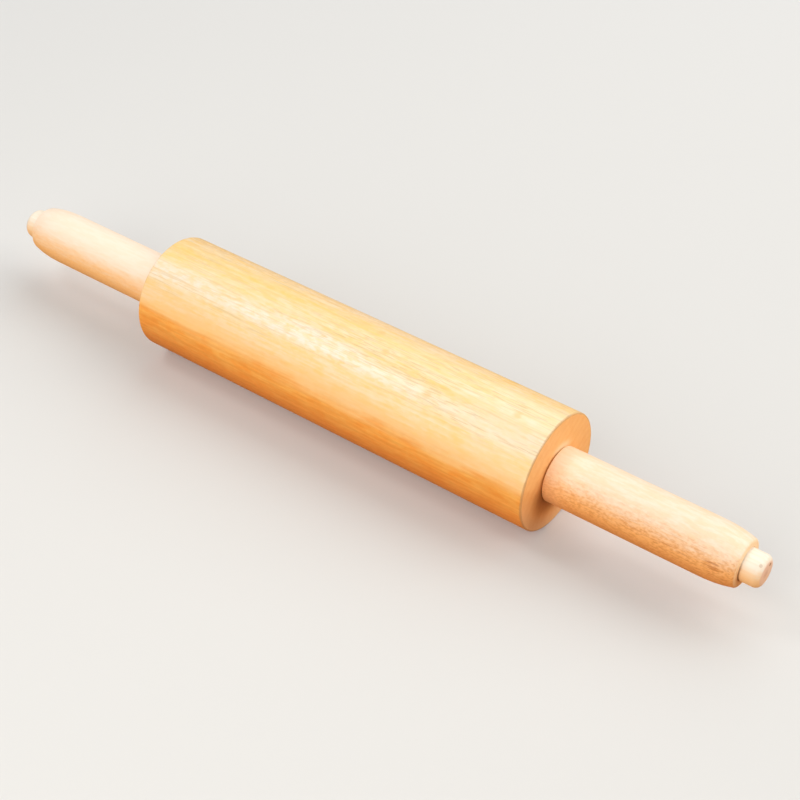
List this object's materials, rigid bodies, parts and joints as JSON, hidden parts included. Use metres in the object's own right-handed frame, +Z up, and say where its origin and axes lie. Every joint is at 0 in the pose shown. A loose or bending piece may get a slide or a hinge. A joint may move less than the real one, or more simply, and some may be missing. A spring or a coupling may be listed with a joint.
{
  "type": "rolling pin",
  "caption": "Wooden rolling pin with a plain cylindrical barrel that turns freely on a dowel axle, and a glued handle with a curved-in nose at each end.",
  "frame": {"origin": "on the surface that the pin rests on, under the middle of the barrel", "axes": "+X along the pin to the near handle, +Z up"},
  "size_m": [0.4508, 0.06, 0.06],
  "materials": {
    "barrel_wood": "pale straight-grained wood, satin lacquer",
    "handle_wood": "pale wood with short brown flecks, sanded smooth",
    "dowel_wood": "whitish bare dowel, end grain at both ends"
  },
  "bodies": {
    "axle_and_handles": {"axle": "dowel_wood", "near_handle": "handle_wood", "far_handle": "handle_wood"},
    "barrel": {"barrel": "barrel_wood"}
  },
  "joints": [
    {"name": "barrel_spin", "type": "hinge", "parent": "axle_and_handles", "child": "barrel", "pos_m": [0, 0, 0.03], "axis": [1, 0, 0], "continuous": true}
  ]
}
